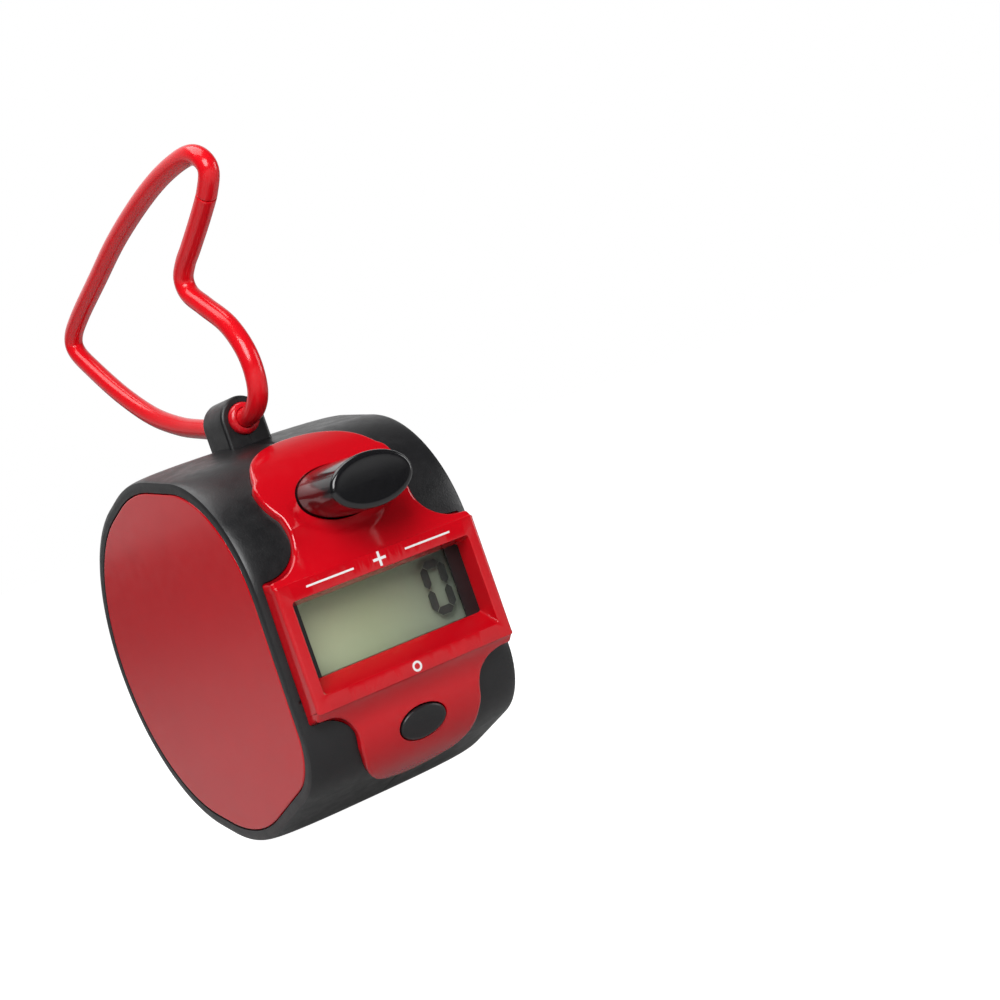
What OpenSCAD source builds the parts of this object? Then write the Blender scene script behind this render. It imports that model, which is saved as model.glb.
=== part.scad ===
// Digital hand tally counter with a finger loop.
// Frame: X across the display (right positive, facing it), Y into the body, Z up.
// Origin: centre of the display bezel's front face. All sizes in millimetres.

/* [Body] */
// Half of the body's width, from the parting plane to an end face
half_w = 14.5; // [14.5:0.1:16]
// Back lobe of the side profile: Y, Z and radius
back_lobe = [29.5, 1.0, 21.5]; // [0:0.1:40]
// Belly lobe of the side profile: Y, Z and radius
belly_lobe = [26.0, 1.0, 22.5]; // [0:0.1:40]
// Brow lobe of the side profile: Y, Z and radius
brow_lobe = [18.6, 6.8, 15.5]; // [0:0.1:40]
// Chin lobe of the side profile: Y, Z and radius
chin_lobe = [12.3, -8.6, 8.6]; // [-10:0.1:40]
// How far the body swells from its end faces to its parting plane
crown_h = 0.8; // [0.6:0.05:0.9]
// Thickness of the wrap-round wall
wall = 1.4; // [1.2:0.1:1.6]
// Thickness of each end wall under its inlay
end_wall = 0.9; // [0.8:0.05:1.0]
// Thickness of the inlays in the end faces
inlay_t = 0.9; // [0.8:0.05:1.0]
// Width of the rim left round an inlay
rim = 1.0; // [0.8:0.1:1.4]

/* [Fascia and bezel] */
// Bezel's outer size: width and height
bezel = [27.0, 14.8]; // [14:0.1:27]
// Bezel opening in front: half width, and Z of its lower and upper edges
opening = [12.0, -5.5, 5.3]; // [-6:0.05:12]
// Z of the lower and upper edges where the opening ends on the display frame
throat = [-3.85, 4.65]; // [-5:0.05:5]
// Depth of the bezel box behind its front face
bezel_depth = 3.1; // [2.8:0.1:3.2]
// Height of the fascia's face above the end-face profile
fascia_rise = 1.7; // [1.5:0.1:2.0]
// Height of the fascia's seat above the end-face profile
seat_rise = 0.3; // [0.2:0.05:0.5]
// Half width of the fascia's waist over the bezel and under it
waist = [8.2, 8.4]; // [8:0.1:9]
// Notches over the bezel: X and Z of the centre, and radius
upper_notch = [12.6, 12.6, 4.4]; // [4:0.1:13]
// Notches under the bezel: X and Z of the centre, and radius
lower_notch = [12.2, -12.2, 3.8]; // [-13:0.1:13]
// Swelling at the sides of the count button: X and Z of the centre, and radius
shoulder = [4.2, 17.4, 5.0]; // [4:0.1:18]
// Rounded end of the fascia over the brow, seen from above: Y of the centre and radius
brow_reach = [3.5, 9.0]; // [1:0.1:10]
// Rounded end of the fascia under the chin: Y of the centre and radius
chin_reach = [1.6, 8.4]; // [1:0.1:10]

/* [Buttons] */
// Count button: half width, half height, and how far it stands out of the bezel plane
count_key = [5.35, 3.15, 4.9]; // [2:0.05:8]
// Height of the count button's axis
count_z = 15.2; // [14.8:0.1:15.4]
// Travel of the count button
count_travel = 2.4; // [2:0.1:2.5]
// Reset button: half width, half height, and how far it stands out of the fascia
reset_key = [3.15, 1.9, 0.35]; // [0.2:0.05:4]
// Height of the reset button's axis
reset_z = -13.0; // [-13.1:0.05:-12.7]
// Travel of the reset button
reset_travel = 0.4; // [0.3:0.05:0.4]

/* [Display] */
// Seen window of the display: width and height
lcd_window = [20.2, 8.5]; // [8:0.1:22]
// Height of the display's centre
lcd_z = 0.4; // [0:0.05:0.5]
// Height of the digit
digit_h = 6.6; // [5:0.1:7]
// Width of the digit
digit_w = 3.4; // [2.5:0.1:3.5]

/* [Board] */
// Depth of the board's front face
board_y = 12.0; // [12:0.1:12.2]
// Thickness of the board
board_t = 1.2; // [1:0.1:1.6]

/* [Battery] */
// Button cell: radius and thickness
cell = [5.8, 3.05]; // [3:0.05:6]
// Centre of the button cell: Y and Z
cell_at = [39.5, 1.2]; // [0:0.1:42]
// Battery cover screw: Y and Z
cover_screw_at = [36.7, -9.4]; // [-10:0.1:38]
// Thickness of the battery cover
cover_t = 2.0; // [1.9:0.05:2.1]

/* [Lug and loop] */
// Lug: half width, and Y of its front and back faces
lug = [2.9, 21.0, 27.0]; // [2.7:0.1:28]
// Height of the lug's eye
eye_z = 27.0; // [26.8:0.1:27.2]
// Radius of the loop's hub in the eye
hub_r = 2.0; // [1.9:0.05:2.1]
// Radius of the loop's cord
cord_r = 1.25; // [1.1:0.05:1.3]

/* [Hidden] */
$fn = 96;

far = 40;                                // reach of a cut that goes right through
slack = 0.05;                            // gap between pieces that don't slide
run = 0.12;                              // gap round a sliding button
seal = 0.02;                             // gap between faces that touch
bite = 0.004;                            // how far the profile's straights run inside its lobes
cavity_half = half_w - inlay_t - end_wall;
inlay_x = half_w - inlay_t;              // floor of the inlay recesses
cover_x = half_w - cover_t;              // inner face of the battery cover
cell_x = cover_x - 0.1 - cell[1];        // inner face of the cell
board_back = board_y + board_t;

screw_posts = [[17.5, 15.6], [19.0, -14.5], [39.5, 14.2], [41.5, -12.0]];
post_r = 3.0;
screw_r = 1.0;
screw_seat_x = -5.0;                     // seat of the case screws' heads
case_shank = 10.0;
head_r = 1.9;
head_h = 1.3;

frame_posts = [for (x = [-9.5, 9.5], z = [-8.2, 8.2]) [x, z]];
frame_size = [24.8, 12.8];
glass_size = [23.8, 11.0];
rear_glass_h = 8.8;
frame_front = bezel_depth + seal;
lip_t = 0.3;
glass_front = frame_front + lip_t + slack;
glass_t = 0.8;
digit_y = glass_front + glass_t + 0.01;
digit_t = 0.04;
rear_glass_y = digit_y + digit_t + 0.01;
rear_glass_t = 1.1;

switch_y = 10.4;                         // front of the count switch body
count_rest_gap = count_travel - 0.25;    // count button's stem to its plunger, at rest
plunger_y = 9.8;
reset_switch_y = 10.7;
reset_plunger_y = reset_switch_y - reset_travel;

black = [0.05, 0.05, 0.055];
red = [0.78, 0.04, 0.07];
steel = [0.75, 0.75, 0.76];

// ---- helpers ----

// Extrudes a (Y, Z) drawing along X
module along_x(x0, x1) translate([x0, 0, 0]) rotate([90, 0, 90]) linear_extrude(x1 - x0) children();

// Extrudes an (X, Z) drawing along Y
module along_y(y0, y1) translate([0, y1, 0]) rotate([90, 0, 0]) linear_extrude(y1 - y0) children();

// Round bar or bore along X or Y
module bar_x(at, r, x0, x1) translate([x0, at[0], at[1]]) rotate([0, 90, 0]) cylinder(r = r, h = x1 - x0);
module bar_y(at, r, y0, y1) translate([at[0], y0, at[1]]) rotate([-90, 0, 0]) cylinder(r = r, h = y1 - y0);

// Block from one corner to the other
module block(low, high) translate(low) cube(high - low);

module ellipse(a, b) scale([1, b / a]) circle(a);

function unit(v) = v / norm(v);

// Outward normal of the straight line that touches two circles [y, z, r], taken anticlockwise
function touch(a, b) =
    let (v = [b[0] - a[0], b[1] - a[1]], e = unit(v), s = (a[2] - b[2]) / norm(v))
    e * s + [e[1], -e[0]] * sqrt(1 - s * s);

function on_circle(c, u, d) = [c[0], c[1]] + (c[2] + d) * u;

ring = [back_lobe, belly_lobe, brow_lobe, chin_lobe, belly_lobe];

// Side profile in (Y, Z): the tight belt round the four lobes, grown by d
module profile(d) {
    polygon([for (i = [0:4])
        let (a = ring[i], b = ring[(i + 1) % 5], u = touch(a, b))
        each [on_circle(a, u, d - bite), on_circle(b, u, d - bite)]]);
    for (c = [back_lobe, belly_lobe, brow_lobe, chin_lobe])
        translate([c[0], c[1]]) circle(c[2] + d);
}

function crown(x) = crown_h * pow(1 - pow(abs(x) / half_w, 3), 1 / 3);

// Solid half of the body, swelling towards the parting plane; side is -1 or 1
module half_body(side) {
    hull() for (t = [0, 0.5, 0.75, 0.9, 0.97, 0.995, 1])
        translate([side * (t * (half_w - seal)), 0, 0])
            along_x(min(0, side * seal), max(0, side * seal)) profile(crown(t * half_w), $fn = 64);
}

// Centre of the arc through a and b that bulges by s to the left of a-to-b
function arc_centre(a, b, s) =
    let (h = norm(b - a) / 2, r = (h * h + s * s) / (2 * s), e = unit(b - a))
    (a + b) / 2 + [e[1], -e[0]] * (r - s);
function arc_radius(a, b, s) = let (h = norm(b - a) / 2) (h * h + s * s) / (2 * s);

// ---- case ----

// Outline of the fascia seen from the front, grown by g
module fascia_outline(g) {
    top = 26;
    for (side = [-1, 1]) translate([side * shoulder[0], shoulder[1]]) circle(shoulder[2] + g);
    difference() {
        translate([-bezel[0] / 2 - g, -top]) square([bezel[0] + 2 * g, 2 * top]);
        for (side = [0, 1]) mirror([side, 0]) {
            notch_side(upper_notch, waist[0], g);
            mirror([0, 1]) notch_side([lower_notch[0], -lower_notch[1], lower_notch[2]], waist[1], g);
        }
    }
}

// Space beside the fascia: straight along the waist, round at the notch
module notch_side(notch, waist_x, g) {
    reach = 20;
    translate([notch[0], notch[1]]) circle(notch[2] - g);
    translate([waist_x + g, notch[1]]) square(reach);
    translate([notch[0], notch[1] - notch[2] + g]) square(reach);
}

// Limit of the fascia seen from above: a band along the front and a round end
module reach_outline(reach, band, g) {
    translate([0, reach[0]]) circle(reach[1] + g);
    translate([-bezel[0] / 2 - g, -2]) square([bezel[0] + 2 * g, 2 + band]);
}

// Space the fascia's skin takes, grown by g
module fascia_space(g) {
    intersection() {
        along_y(-2, 16) fascia_outline(g);
        union() {
            linear_extrude(26) reach_outline(brow_reach, 6, g);
            translate([0, 0, -24]) linear_extrude(24) reach_outline(chin_reach, 4, g);
        }
        difference() {
            along_x(-far, far) profile(fascia_rise + g);
            along_x(-far - 1, far + 1) profile(seat_rise - g);
        }
    }
}

// Concave sweep between the bezel's edge and the fascia's face; bounds are (Y, Z) points
module sweep(edge, foot, sag) {
    deep = 4.4;
    c = edge[1] < foot[1] ? arc_centre(foot, edge, sag) : arc_centre(edge, foot, sag);
    intersection() {
        along_y(-2, 16) fascia_outline(0);
        along_x(-bezel[0] / 2, bezel[0] / 2) difference() {
            polygon([edge, foot, [deep, foot[1]], [deep, edge[1]]]);
            translate(c) circle(arc_radius(edge, foot, sag));
        }
    }
}

// The opening through the bezel; its floor and ceiling slope towards the display
module opening_space() along_x(-opening[0], opening[0]) {
    polygon([[0, opening[1]], [0, opening[2]], [bezel_depth, throat[1]], [bezel_depth, throat[0]]]);
    translate([-1, opening[1]]) square([1.001, opening[2] - opening[1]]);
    translate([bezel_depth - 0.001, throat[0]]) square([6, throat[1] - throat[0]]);
}

module fascia() color(red) {
    top = bezel[1] / 2;
    difference() {
        union() {
            fascia_space(0);
            along_y(0, bezel_depth) square(bezel, center = true);
            sweep([0.25, top - slack], [2.4, 12.8], 0.5);
            sweep([0.25, -top + slack], [2.25, -10.9], 0.4);
        }
        opening_space();
        along_y(-1, 20) translate([0, count_z]) ellipse(count_key[0] + run, count_key[1] + run);
        along_y(-1, 20) translate([0, reset_z]) ellipse(reset_key[0] + run, reset_key[1] + run);
        // the skin ends on the wall round the display window
        along_x(-bezel[0] / 2 - 1, bezel[0] / 2 + 1)
            translate([bezel_depth, -top + 0.8]) square([6, bezel[1] - 1.6]);
        // below the seat level the sweeps stop on the shells
        along_x(-far, far) profile(seat_rise);
        along_y(bezel_depth, 20) square([bezel[0] + 2, bezel[1]], center = true);
    }
}

// Cuts that the fascia, the display and the buttons need through the front of the shells
module front_cuts() {
    fascia_space(slack);
    along_y(-2, bezel_depth + seal) square([bezel[0] + 2 * slack, bezel[1] + 2 * slack], center = true);
    along_y(-2, 8) translate([0, lcd_z])
        square([frame_size[0] + 2 * slack, frame_size[1] + 2 * slack], center = true);
    along_y(-2, board_y) translate([0, count_z]) ellipse(count_key[0] + 0.3, count_key[1] + 0.3);
    along_y(-2, 9.6) translate([0, reset_z]) ellipse(reset_key[0] + 0.3, reset_key[1] + 0.3);
}

// Half of the eyelet lug; side is -1 or 1
module lug_half(side) {
    root_z = 22.7;
    intersection() {
        along_y(lug[1], lug[2]) {
            translate([0, eye_z]) circle(lug[0]);
            translate([-lug[0], root_z]) square([2 * lug[0], eye_z - root_z]);
        }
        block([min(0, side * far), 0, 0], [max(0, side * far), far, far]);
    }
}

// Ribs that hold one edge of the board; side is -1 or 1
module board_ribs(side) {
    tip = cavity_half - 1.3;
    for (z = [11, -12], y = [board_y - 1, board_back + slack])
        block([min(side * tip, side * (cavity_half + 0.2)), y, z],
            [max(side * tip, side * (cavity_half + 0.2)), y + 1 - slack, z + 3]);
}

module left_shell() color(black) difference() {
    union() {
        difference() {
            half_body(-1);
            along_x(-cavity_half, 1) profile(-wall);
        }
        for (p = screw_posts) bar_x(p, post_r, -cavity_half - 0.2, 0);
        board_ribs(-1);
        lug_half(-1);
    }
    along_x(-half_w - 1, -inlay_x) profile(-rim);
    for (p = screw_posts) {
        bar_x(p, head_r + 0.2, -half_w, screw_seat_x);
        bar_x(p, screw_r + 0.2, -half_w, 1);
    }
    front_cuts();
    bar_y([0, eye_z], hub_r + slack, lug[1] - 1, lug[2] + 1);
}

// Battery cover seen along X in (Y, Z), grown by d
module cover_shape(d) {
    ear_r = 4.2;
    front = 29.8;
    top = 8.9;
    low = -6.5;
    back_y = cover_screw_at[0] + 8.6;
    intersection() {
        union() {
            polygon([[front - d, top + d], [far + 20, top + d], [far + 20, low - d], [32.4 - d, low - d]]);
            polygon([[cover_screw_at[0] - ear_r - d, cover_screw_at[1]], [32.4 - d, low],
                [back_y + d, low], [cover_screw_at[0] + ear_r + d, cover_screw_at[1]]]);
            translate(cover_screw_at) circle(ear_r + d);
        }
        profile(d - rim - 1.6);
    }
}

module right_shell() color(black) difference() {
    union() {
        difference() {
            half_body(1);
            along_x(-1, cavity_half) profile(-wall);
        }
        for (p = screw_posts) bar_x(p, post_r - 0.4, 0, cavity_half + 0.2);
        // battery housing
        intersection() {
            along_x(cell_x - 1.6, inlay_x) cover_shape(1.2);
            along_x(-far, far) profile(-wall / 2);
        }
        bar_x(cover_screw_at, 2.4, 6.4, cavity_half + 0.2);
        board_ribs(1);
        lug_half(1);
    }
    along_x(inlay_x, half_w + 1) profile(-rim);
    along_x(cover_x - seal, half_w + 1) cover_shape(run);
    bar_x(cell_at, cell[0] + 0.3, cell_x - 0.5, half_w);
    bar_x(cover_screw_at, screw_r + seal, 7.0, half_w);
    for (p = screw_posts) bar_x(p, screw_r + seal, -1, 6);
    front_cuts();
    bar_y([0, eye_z], hub_r + slack, lug[1] - 1, lug[2] + 1);
    // slots for the contacts
    block([cell_x - 2, cell_at[0] - cell[0] - 0.6, cell_at[1] - 2.1],
        [cover_x - 0.4, cell_at[0] - cell[0] + 0.6, cell_at[1] + 2.1]);
    block([cell_x - 2, cell_at[0] + 0.7, cell_at[1] - 0.8],
        [cell_x, cell_at[0] + 1.3, cell_at[1] + 0.8]);
}

module side_panel() color(red) along_x(-half_w, -inlay_x - seal) profile(-rim - 0.12);

module end_cover() color(black) difference() {
    along_x(inlay_x + seal, half_w) profile(-rim - 0.1);
    along_x(inlay_x - 1, half_w + 1) cover_shape(run);
}

module battery_cover() color(black) difference() {
    along_x(cover_x, half_w) cover_shape(0);
    bar_x(cover_screw_at, head_r + 0.15, half_w - 1.15, half_w + 1);
    bar_x(cover_screw_at, screw_r + 0.15, cover_x - 1, half_w + 1);
    // slot for a finger nail
    block([half_w - 1.0, 34.6, 4.1], [half_w + 1, 40.8, 5.6]);
}

// Cross-recessed pan head screw along +X; the head's top is at x = 0 and the shank points to -X
module screw_x(head, height, shank) {
    cross_w = 0.5;
    difference() {
        union() {
            translate([-height, 0, 0]) rotate([0, 90, 0]) cylinder(r = head, h = height);
            translate([-height - shank, 0, 0]) rotate([0, 90, 0]) cylinder(r = screw_r, h = shank + 0.1);
        }
        for (a = [0, 90]) rotate([a, 0, 0]) block([-0.7, -head * 0.6, -cross_w / 2], [1, head * 0.6, cross_w / 2]);
    }
}

module cover_screw() color(steel)
    translate([half_w - 0.2, cover_screw_at[0], cover_screw_at[1]]) screw_x(head_r, 0.93, 5.6);

module case_screws() color(steel) for (p = screw_posts)
    translate([screw_seat_x - head_h - seal, p[0], p[1]]) mirror([1, 0, 0]) screw_x(head_r, head_h, case_shank);

// ---- buttons and switches ----

module count_button() color(black) {
    a = count_key[0];
    b = count_key[1];
    front = -count_key[2];
    bevel = 0.5;
    skin = 0.9;
    skirt_end = 9.3;
    tab = 0.8;
    translate([0, 0, count_z]) {
        difference() {
            scale([1, 1, b / a]) rotate([-90, 0, 0]) {
                translate([0, 0, front + bevel]) cylinder(r = a, h = skirt_end - front - bevel);
                translate([0, 0, front]) cylinder(r1 = a - bevel, r2 = a, h = bevel);
            }
            along_y(front + 1.4, skirt_end + 1) ellipse(a - skin, b - skin);
        }
        // stem that reaches for the switch
        bar_y([0, 0], 1.1, front + 1.3, plunger_y - count_rest_gap);
        // side tabs that keep the button in the case
        for (side = [-1, 1])
            block([min(side * (a - skin / 2), side * (a + tab)), skirt_end - tab, -1.4],
                [max(side * (a - skin / 2), side * (a + tab)), skirt_end, 0.8]);
    }
}

// Points of a coil about +Y
function coil(r, y0, y1, turns, steps) = [for (i = [0:turns * steps])
    let (t = i / steps) [r * cos(360 * t), y0 + (y1 - y0) * t / turns, r * sin(360 * t)]];

// Round rod through a list of points
module rod(points, r, sides) for (i = [0:len(points) - 2]) hull() {
    translate(points[i]) sphere(r, $fn = sides);
    translate(points[i + 1]) sphere(r, $fn = sides);
}

module count_spring() color(steel) translate([0, 0, count_z])
    rod(coil(1.75, -count_key[2] + 1.4 + 0.3, switch_y - 0.3, 7, 14), 0.2, 6);

module count_switch() color(steel) difference() {
    block([-3, switch_y, count_z - 1.5], [3, board_y - seal, count_z + 1.5]);
    bar_y([0, count_z], 0.95, switch_y - 1, board_y - 0.3);
}

module count_plunger() color(black) bar_y([0, count_z], 0.9, plunger_y, 11.2);

module reset_button() color(black) difference() {
    union() {
        intersection() {
            along_y(-2, 9.1) translate([0, reset_z]) ellipse(reset_key[0], reset_key[1]);
            along_x(-far, far) profile(fascia_rise + reset_key[2]);
        }
        // flange behind the shells
        block([-4.2, 9.0, reset_z - 1.8], [4.2, 9.7, reset_z + 1.9]);
        bar_y([0, reset_z], 0.9, 9.6, reset_plunger_y - seal);
    }
    block([-5, 8.9, reset_z - 3], [-3.9, 9.8, reset_z - 1.3]);
    block([3.9, 8.9, reset_z - 3], [5, 9.8, reset_z - 1.3]);
}

module reset_switch() color(steel) difference() {
    block([-2.6, reset_switch_y, reset_z - 1.6], [2.6, board_y - seal, reset_z + 1.6]);
    bar_y([0, reset_z], 1.05, reset_switch_y - 1, 11.5);
}

module reset_plunger() color(black) bar_y([0, reset_z], 1.0, reset_plunger_y, 11.0);

// ---- display ----

module lcd_frame() color(black) difference() {
    union() {
        along_y(frame_front, board_y - seal) translate([0, lcd_z]) square(frame_size, center = true);
        along_y(6.5, 7.7) square([22.8, 19.8], center = true);
        for (p = frame_posts) bar_y(p, 1.9, 6.6, board_y - seal);
    }
    along_y(frame_front - 1, far) translate([0, lcd_z]) square(lcd_window, center = true);
    // pocket that holds the glasses and the strips from behind
    along_y(frame_front + lip_t, far) translate([0, lcd_z])
        square([glass_size[0] + 0.2, glass_size[1] + 0.2], center = true);
    for (p = frame_posts) bar_y(p, 0.8 + seal, 7.0, board_y);
}

module lcd_front_glass() color([0.85, 0.9, 0.85, 0.35])
    along_y(glass_front, glass_front + glass_t) translate([0, lcd_z]) square(glass_size, center = true);

module lcd_rear_glass() color([0.55, 0.58, 0.48])
    along_y(rear_glass_y, rear_glass_y + rear_glass_t) translate([0, lcd_z])
        square([glass_size[0], rear_glass_h], center = true);

// One bar of a seven-segment digit, centred, with pointed ends
module segment(length, width) {
    h = width / 2;
    e = length / 2;
    polygon([[-e, 0], [h - e, h], [e - h, h], [e, 0], [e - h, -h], [h - e, -h]]);
}

// The digit 0: every segment but the middle one
module lcd_digits() color([0.15, 0.16, 0.14]) {
    bar_w = 1.0;
    side = (digit_w - bar_w) / 2;
    arm = digit_h / 2 - bar_w / 2;
    along_y(digit_y, digit_y + digit_t) translate([8.4, lcd_z + 0.2]) {
        for (v = [-1, 1]) {
            translate([0, v * arm]) segment(2 * side - 0.15, bar_w);
            for (u = [-1, 1]) translate([u * side, v * arm / 2]) rotate(90) segment(arm - 0.15, bar_w);
        }
    }
}

module zebra_strips() color([0.75, 0.45, 0.55]) {
    strip_t = 1.0;
    for (side = [-1, 1])
        along_y(glass_front + glass_t + seal, board_y - seal)
            translate([0, lcd_z + side * (rear_glass_h / 2 + slack + strip_t / 2)])
                square([22.0, strip_t], center = true);
}

// ---- board ----

module main_pcb() color([0.10, 0.35, 0.16]) difference() {
    along_y(board_y, board_back) translate([-12.0, -15.2]) square([24.0, 33.8]);
    for (p = frame_posts) bar_y(p, 0.95, board_y - 1, board_back + 1);
}

module chip_blob() color(black) intersection() {
    translate([-3.5, board_back - 3.4, 1.5]) sphere(5.0);
    block([-12, board_back + seal / 2, -8], [6, board_back + 3, 12]);
}

module smd_parts() color([0.6, 0.5, 0.4]) {
    for (i = [0:3])
        block([5.4, board_back + seal / 2, -4 + 2.6 * i], [7.4, board_back + 0.55, -2.75 + 2.6 * i]);
    block([-6.5, board_back + seal / 2, -11.2], [-4.9, board_back + 0.8, -8.0]);
    bar_y([3.2, -10.6], 1.6, board_back + seal / 2, board_back + 1.2);
}

module pcb_screws() color(steel) for (p = frame_posts) difference() {
    union() {
        bar_y(p, 1.5, board_back + seal, board_back + 1.0);
        bar_y(p, 0.8, 7.6, board_back + 0.1);
    }
    for (a = [0, 90]) translate([p[0], board_back + 1.0, p[1]]) rotate([0, a, 0])
        block([-0.9, -0.5, -0.2], [0.9, 1, 0.2]);
}

// ---- battery ----

module battery_cell() color(steel) {
    bar_x(cell_at, cell[0], cell_x + 0.45, cell_x + cell[1]);
    bar_x(cell_at, cell[0] - 1.2, cell_x + 0.05, cell_x + 0.5);
}

module contact_positive() color(steel) {
    y = cell_at[0] - cell[0] - 0.35;
    block([cell_x - 2.6, y, cell_at[1] - 1.8], [cover_x - 0.7, y + 0.25, cell_at[1] + 1.8]);
}

module contact_negative() color(steel) {
    bar_x(cell_at, 3.2, cell_x - 0.3, cell_x - 0.05);
    block([cell_x - 2.6, cell_at[0] + 0.85, cell_at[1] - 0.6],
        [cell_x - 0.1, cell_at[0] + 1.1, cell_at[1] + 0.6]);
}

lead_r = 0.45;

// Lead from the point where it leaves a contact to the back of the board
module lead(start, pad) rod([
    start,
    start + [-0.6, -1.6, 0.8],
    [start[0] - 1.6, (start[1] + pad[1]) / 2 + 4, (start[2] + pad[2]) / 2 + 1.6],
    [(start[0] + pad[0]) / 2, (start[1] + pad[1]) / 2 - 3, (start[2] + pad[2]) / 2 + 2.0],
    pad + [0, 2.4, 0.5],
    pad], lead_r, 12);

module lead_positive() color(red)
    lead([cell_x - 3.1, cell_at[0] - cell[0] - 0.2, cell_at[1]], [2.0, board_back + 0.5, 8.0]);

module lead_negative() color(black)
    lead([cell_x - 3.1, cell_at[0] + 0.95, cell_at[1]], [6.5, board_back + 0.5, -9.0]);

// ---- finger loop ----

seam = [10.4, 52.5];                     // where the cord's ends meet, in (Y, Z)
// Points on the cord's centre line in (Y, Z): from the joint to the front of the eye
front_run = [seam, [14.3, 50.5], [19.0, 48.3], [21.9, 47.0], [23.8, 45.5], [23.5, 43.5], [20.6, 41.2],
    [16.5, 38.0], [14.3, 34.3], [14.2, 30.9], [15.8, 28.3], [19.6, eye_z]];
// ... and from the back of the eye round to the joint
back_run = [[28.4, eye_z], [33.8, 27.9], [39.8, 29.4], [46.8, 32.1], [54.0, 36.4], [60.5, 41.4], [64.0, 44.7],
    [63.5, 46.8], [58.7, 48.8], [49.3, 51.5], [39.4, 54.3], [29.8, 56.3], [21.4, 57.5], [14.5, 57.8],
    [10.5, 57.4], [8.3, 56.1], [8.0, 54.5], seam];
run_steps = 3;

// Smooth curve from b to c that heads on from a and towards d; t is 0 to 1
function flow(a, b, c, d, t) = (2 * b + (c - a) * t + (2 * a - 5 * b + 4 * c - d) * t * t
    + (3 * b - a - 3 * c + d) * t * t * t) / 2;

// Points of the smooth curve through p, which comes from before and goes on to after
function smooth(p, before, after) =
    let (q = concat([before], p, [after]))
    [for (i = [1:len(p) - 1], k = [0:run_steps - 1]) flow(q[i - 1], q[i], q[i + 1], q[i + 2], k / run_steps)];

seam_dir = unit(front_run[1] - back_run[len(back_run) - 2]);
end_gap = cord_r + 0.04;                 // from the joint to the centre of the cord's round ends
front_path = smooth(front_run, seam - 3 * seam_dir, back_run[0]);
back_path = smooth(back_run, front_run[len(front_run) - 1], seam + 3 * seam_dir);
loop_path = concat([seam + seam_dir * end_gap], [for (p = front_path) if (norm(p - seam) > end_gap) p],
    [front_run[len(front_run) - 1]], [for (p = back_path) if (norm(p - seam) > end_gap) p],
    [seam - seam_dir * end_gap]);

module loop_joint_plug() color([0.9, 0.3, 0.3])
    translate([0, seam[0], seam[1]]) rotate([atan2(seam_dir[1], seam_dir[0]), 0, 0]) bar_y([0, 0], 0.5, -1.5, 1.5);

module finger_loop() color(red) difference() {
    rod([for (p = loop_path) [0, p[0], p[1]]], cord_r, 12);
    translate([0, seam[0], seam[1]]) rotate([atan2(seam_dir[1], seam_dir[0]), 0, 0])
        bar_y([0, 0], 0.56, -1.6, 1.6);
}

module loop_hub() color(red) difference() {
    bar_y([0, eye_z], hub_r, lug[1] - 0.8, lug[2] + 0.8);
    bar_y([0, eye_z], cord_r + slack, lug[1] - 2, lug[2] + 2);
}

left_shell();
right_shell();
fascia();
side_panel();
end_cover();
battery_cover();
cover_screw();
case_screws();
count_button();
count_spring();
count_switch();
count_plunger();
reset_button();
reset_switch();
reset_plunger();
lcd_frame();
lcd_front_glass();
lcd_rear_glass();
lcd_digits();
zebra_strips();
main_pcb();
chip_blob();
smd_parts();
pcb_screws();
battery_cell();
contact_positive();
contact_negative();
lead_positive();
lead_negative();
loop_hub();
finger_loop();
loop_joint_plug();
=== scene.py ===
"""Looks of the hand tally counter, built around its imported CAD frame."""

import math

import bmesh
import bpy
import numpy as np
from mathutils import Matrix, Vector


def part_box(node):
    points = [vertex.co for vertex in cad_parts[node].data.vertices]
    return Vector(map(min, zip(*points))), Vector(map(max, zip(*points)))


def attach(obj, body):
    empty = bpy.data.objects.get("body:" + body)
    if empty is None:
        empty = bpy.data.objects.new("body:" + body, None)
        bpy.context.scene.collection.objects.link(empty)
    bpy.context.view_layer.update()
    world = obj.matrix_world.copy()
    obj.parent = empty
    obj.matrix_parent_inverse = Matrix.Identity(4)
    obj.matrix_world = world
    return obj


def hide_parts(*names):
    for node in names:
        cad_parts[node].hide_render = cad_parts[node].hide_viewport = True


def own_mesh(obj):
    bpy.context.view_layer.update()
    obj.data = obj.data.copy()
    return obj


MM = 0.001
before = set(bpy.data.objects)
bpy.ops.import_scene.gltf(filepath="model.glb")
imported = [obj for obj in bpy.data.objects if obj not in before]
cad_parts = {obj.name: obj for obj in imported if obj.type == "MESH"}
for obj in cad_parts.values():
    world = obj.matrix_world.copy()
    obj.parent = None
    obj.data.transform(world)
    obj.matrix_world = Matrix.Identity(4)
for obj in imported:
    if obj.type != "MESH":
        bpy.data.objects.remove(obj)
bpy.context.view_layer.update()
scene = bpy.context.scene

# ---- sizes, in millimetres: X across the display, Y into the body, Z up ----

SLACK = 0.05  # gap round pieces that sit in the shells
FRONT_CLEAR = -2.0  # cuts through the front start here
HALF_W = 14.5
CROWN = 0.8
WALL = 1.4
INLAY_X = 13.6
CAVITY_X = 12.7
RIM = 1.0
BACK_LOBE = (29.5, 1.0, 21.5)
BELLY_LOBE = (26.0, 1.0, 22.5)
BROW_LOBE = (18.6, 6.8, 15.5)
CHIN_LOBE = (12.3, -8.6, 8.6)
BEZEL_X = 13.5
BEZEL_Z = 7.4
BEZEL_DEPTH = 3.1
OPENING = (12.0, -5.5, 5.3)
THROAT = (-3.85, 4.65)
FASCIA_RISE = 1.7
FASCIA_DEPTH = 4.0
FASCIA_LIP = 0.42
FASCIA_DISH = 0.32
SEAT_RISE = 0.3
KEY_SLACK = 0.12
UPPER_NOTCH = (12.6, 12.6, 4.4)
LOWER_NOTCH = (12.2, -12.2, 3.8)
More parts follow.
